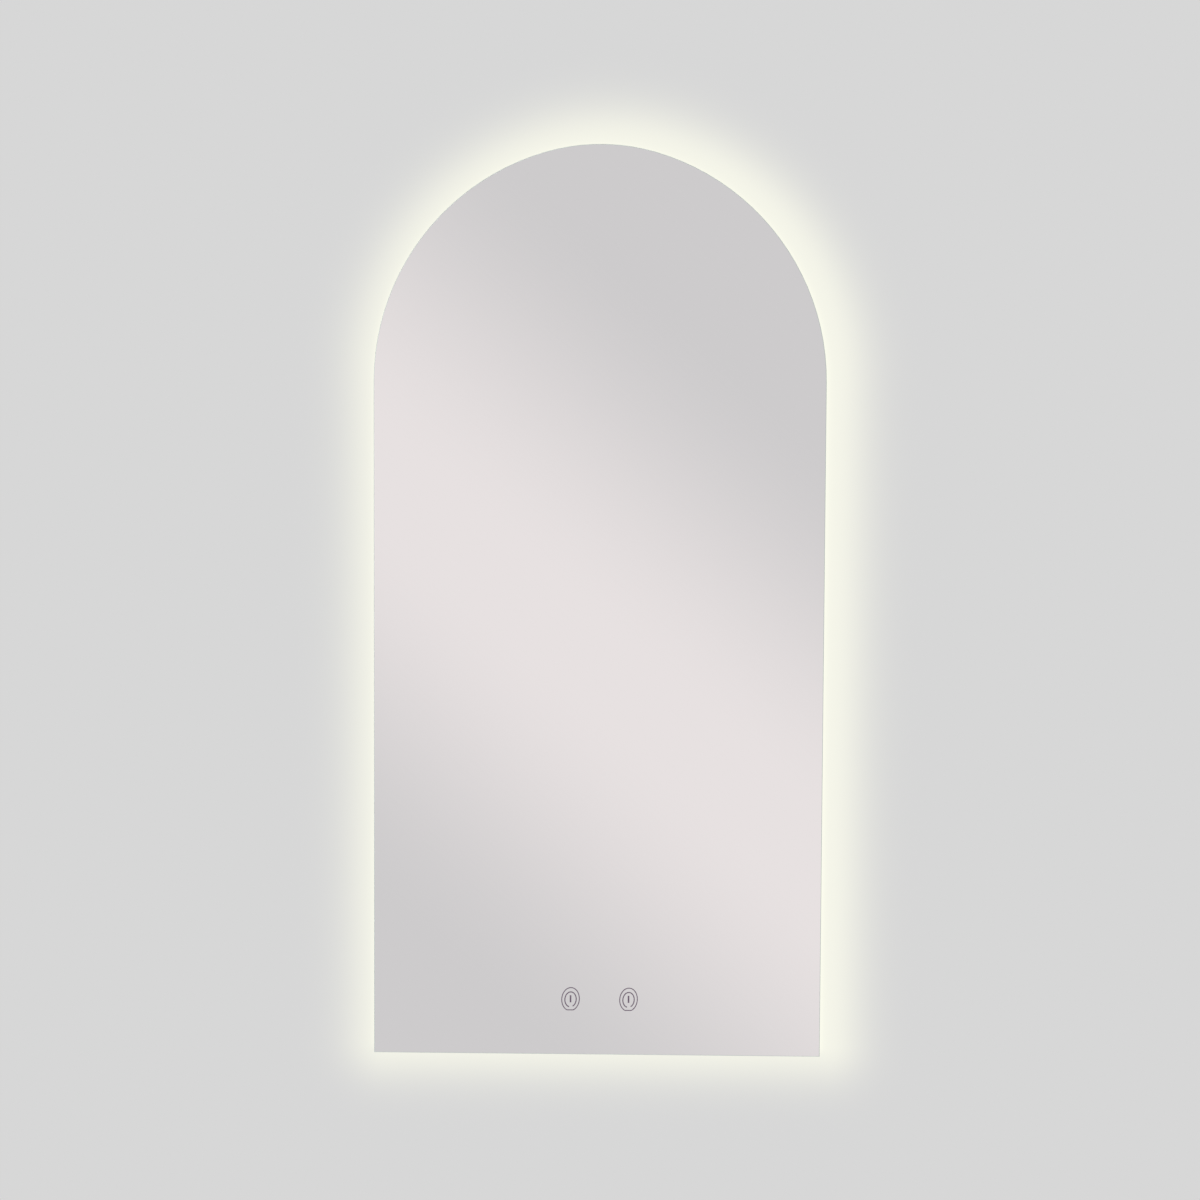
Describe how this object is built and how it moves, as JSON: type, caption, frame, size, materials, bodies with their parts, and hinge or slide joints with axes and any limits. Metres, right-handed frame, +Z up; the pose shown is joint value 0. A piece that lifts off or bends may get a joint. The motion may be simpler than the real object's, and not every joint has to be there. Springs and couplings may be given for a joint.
{
  "type": "lighted bathroom mirror",
  "caption": "Frameless arched bathroom mirror with a light strip behind its edge, two touch marks and a hook rail for hanging it on a wall.",
  "frame": {"origin": "midway between the wall rail's two fixing holes, on the wall plane", "axes": "+X to the viewer's right, +Y into the wall, +Z up; the glass faces -Y"},
  "size_m": [0.5, 0.045, 1.0119],
  "materials": {
    "silvered_glass": "polished, silvered behind",
    "backing_film": "woven safety film",
    "frame_aluminium": "satin anodised extrusion",
    "zinc_steel": "zinc plated sheet",
    "screw_steel": "zinc plated",
    "foam_tape": "closed-cell foam",
    "opal_plastic": "opal, lit from inside",
    "strip_white": "solder mask",
    "led_phosphor": "phosphor",
    "black_rubber": "soft",
    "grey_rubber": "soft",
    "heater_film": "polyester film",
    "heater_foil": "etched foil",
    "white_plastic": "fine spark texture",
    "supply_plastic": "smooth",
    "terminal_plastic": "smooth",
    "gland_plastic": "smooth nylon",
    "white_lead": "flexible sheath",
    "black_lead": "flexible sheath",
    "earth_sheath": "green and yellow sheath",
    "circuit_board": "solder mask",
    "tinned_copper": "tinned"
  },
  "bodies": {
    "rail": {"wall_rail": "zinc_steel"},
    "mirror": {"mirror_glass": "silvered_glass", "safety_film": "backing_film", "frame_arch": "frame_aluminium", "frame_bottom": "frame_aluminium", "bonding_tape_arch": "foam_tape", "bonding_tape_bottom": "foam_tape", "corner_bracket_right": "zinc_steel", "corner_bracket_left": "zinc_steel", "corner_screws": "screw_steel", "led_strip_arch": "strip_white", "led_strip_bottom_right": "strip_white", "led_strip_bottom_left": "strip_white", "led_chips": "led_phosphor", "corner_jumpers": "white_lead", "strip_connector": "white_plastic", "diffuser_arch": "opal_plastic", "diffuser_bottom": "opal_plastic", "hanger_bar": "zinc_steel", "hanger_screws": "screw_steel", "lower_cross_bar": "zinc_steel", "crossbar_screws": "screw_steel", "wall_bumpers": "black_rubber", "heater_pad": "heater_film", "heater_trace": "heater_foil", "heater_terminal": "white_plastic", "touch_housing_left": "terminal_plastic", "touch_board_left": "circuit_board", "touch_lead_left": "black_lead", "touch_housing_right": "terminal_plastic", "touch_board_right": "circuit_board", "touch_lead_right": "black_lead", "power_box": "white_plastic", "lid_gasket": "grey_rubber", "power_lid": "white_plastic", "lid_screws": "screw_steel", "power_supply": "supply_plastic", "terminal_block": "terminal_plastic", "inner_screws": "screw_steel", "box_tape_pads": "foam_tape", "gland_body": "gland_plastic", "gland_locknut": "gland_plastic", "gland_seal": "black_rubber", "gland_cap": "gland_plastic", "light_lead": "white_lead", "heater_lead": "white_lead", "earth_lead": "earth_sheath", "earth_lug": "tinned_copper", "earth_screw": "screw_steel", "box_grommets": "black_rubber", "web_grommet": "black_rubber", "cable_clips": "white_plastic"}
  },
  "joints": [
    {"name": "mirror_lift", "type": "slide", "parent": "rail", "child": "mirror", "axis": [0, 0, 1], "range_m": [0, 0.014]}
  ]
}
